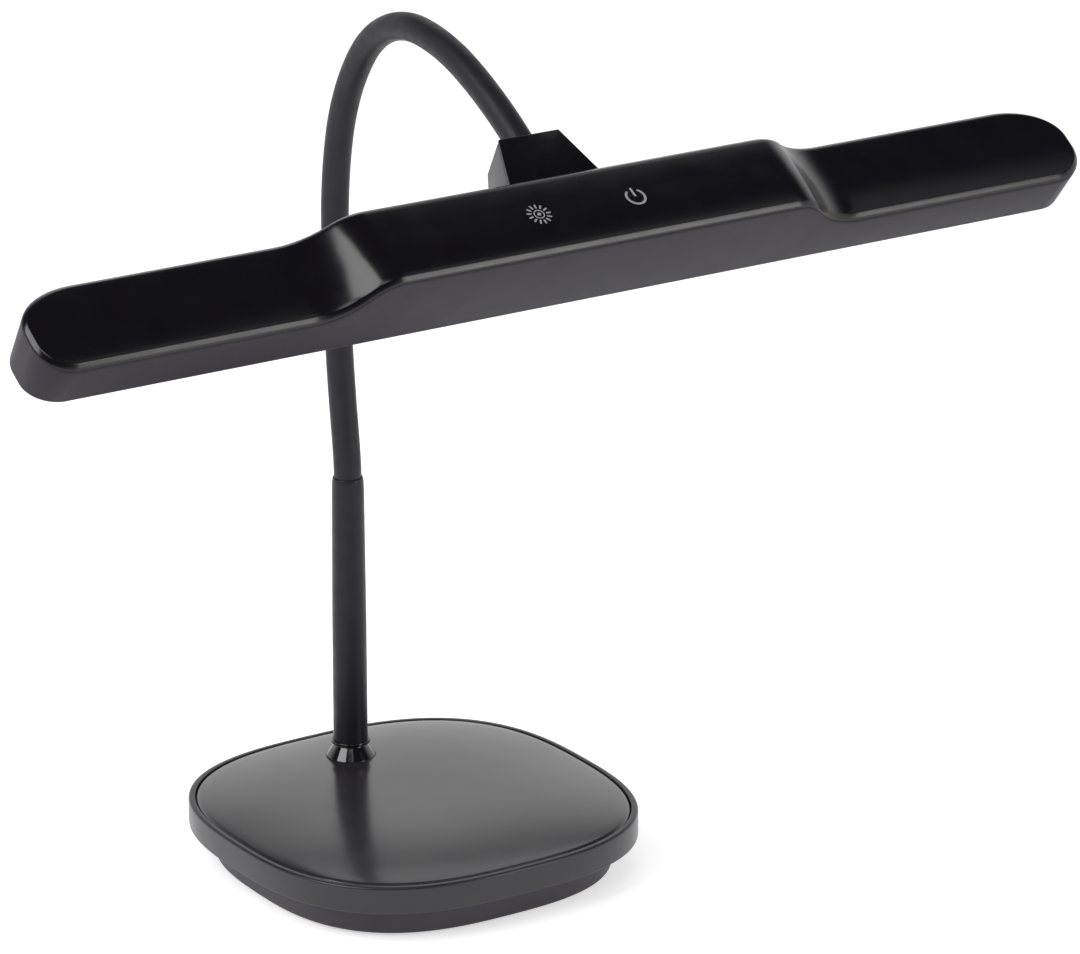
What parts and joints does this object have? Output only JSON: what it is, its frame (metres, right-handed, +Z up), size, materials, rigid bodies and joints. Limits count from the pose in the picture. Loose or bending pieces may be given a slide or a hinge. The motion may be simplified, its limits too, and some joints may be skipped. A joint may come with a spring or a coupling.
{
  "type": "piano lamp",
  "caption": "Table lamp with a weighted rounded-square base, an upright stem, a gooseneck and a long, stepped light head with touch signs.",
  "frame": {"origin": "middle of the base pad's underside, on the table", "axes": "+X along the head, to the right for the player; +Z up; -Y towards the player's side, over which the head reaches"},
  "size_m": [0.555, 0.2686, 0.4231],
  "materials": {
    "foot_plastic": "moulded, fine matt",
    "pad_rubber": "soft, matt",
    "ballast_steel": "plain steel plate, painted",
    "band_plastic": "moulded, satin",
    "lid_plastic": "moulded, satin",
    "screw_steel": "zinc plated",
    "inlet_plastic": "moulded",
    "circuit_board": "circuit board",
    "washer_steel": "zinc plated",
    "collar_gloss": "high gloss black",
    "tube_steel": "plain",
    "stem_rubber": "satin black",
    "wire_sheath": "insulated wires",
    "wound_steel": "wound steel",
    "neck_rubber": "satin black",
    "ferrule_metal": "turned",
    "bracket_plastic": "moulded, satin",
    "bracket_gloss": "gloss black",
    "housing_plastic": "moulded, satin",
    "cover_gloss": "smooth black",
    "carrier_aluminium": "plain sheet",
    "strip_board": "white solder mask",
    "chip_lens": "moulded lens",
    "diffuser_plastic": "frosted",
    "pad_brass": "sprung contact pad"
  },
  "bodies": {
    "base": {"base_foot": "foot_plastic", "base_pad": "pad_rubber", "ballast_plate": "ballast_steel", "base_side_band": "band_plastic", "base_top_cover": "lid_plastic", "base_screws": "screw_steel", "power_socket": "inlet_plastic", "power_board": "circuit_board", "stem_washer": "washer_steel", "stem_nut": "washer_steel", "stem_collar": "collar_gloss", "stem_tube": "tube_steel", "stem_sleeve": "stem_rubber", "stem_lead": "wire_sheath", "neck_root_core": "wound_steel", "neck_root_sleeve": "neck_rubber"},
    "neck_lower": {"neck_lower_core": "wound_steel", "neck_lower_sleeve": "neck_rubber", "neck_lower_lead": "wire_sheath"},
    "neck_rise": {"neck_rise_core": "wound_steel", "neck_rise_sleeve": "neck_rubber", "neck_rise_lead": "wire_sheath"},
    "neck_arch": {"neck_arch_core": "wound_steel", "neck_arch_sleeve": "neck_rubber", "neck_arch_lead": "wire_sheath"},
    "neck_front": {"neck_front_core": "wound_steel", "neck_front_sleeve": "neck_rubber", "neck_front_lead": "wire_sheath"},
    "head": {"neck_tip_core": "wound_steel", "neck_tip_sleeve": "neck_rubber", "neck_tip_lead": "wire_sheath", "neck_ferrule": "ferrule_metal", "bracket_body": "bracket_plastic", "bracket_lid": "bracket_gloss", "bracket_screws": "screw_steel", "head_housing": "housing_plastic", "head_cover": "cover_gloss", "led_carrier": "carrier_aluminium", "led_board": "strip_board", "led_chips": "chip_lens", "diffuser": "diffuser_plastic", "driver_board": "circuit_board", "touch_board": "circuit_board", "touch_pads": "pad_brass", "carrier_screws": "screw_steel"}
  },
  "joints": [
    {"name": "neck_root_bend", "type": "hinge", "parent": "base", "child": "neck_lower", "pos_m": [0, 0.0574, 0.188], "axis": [1, 0, 0], "range_deg": [-25, 25]},
    {"name": "neck_side_bend", "type": "hinge", "parent": "neck_lower", "child": "neck_rise", "pos_m": [0, 0.06657, 0.30452], "axis": [0, 1, 0], "range_deg": [-20, 20]},
    {"name": "neck_back_bend", "type": "hinge", "parent": "neck_rise", "child": "neck_arch", "pos_m": [0, 0.03981, 0.39319], "axis": [1, 0, 0], "range_deg": [-20, 20]},
    {"name": "neck_front_bend", "type": "hinge", "parent": "neck_arch", "child": "neck_front", "pos_m": [0, -0.05048, 0.40759], "axis": [1, 0, 0], "range_deg": [-20, 20]},
    {"name": "head_swing", "type": "hinge", "parent": "neck_front", "child": "head", "pos_m": [0, -0.09051, 0.38675], "axis": [0, -0.5446, 0.8387], "range_deg": [-15, 15]}
  ]
}
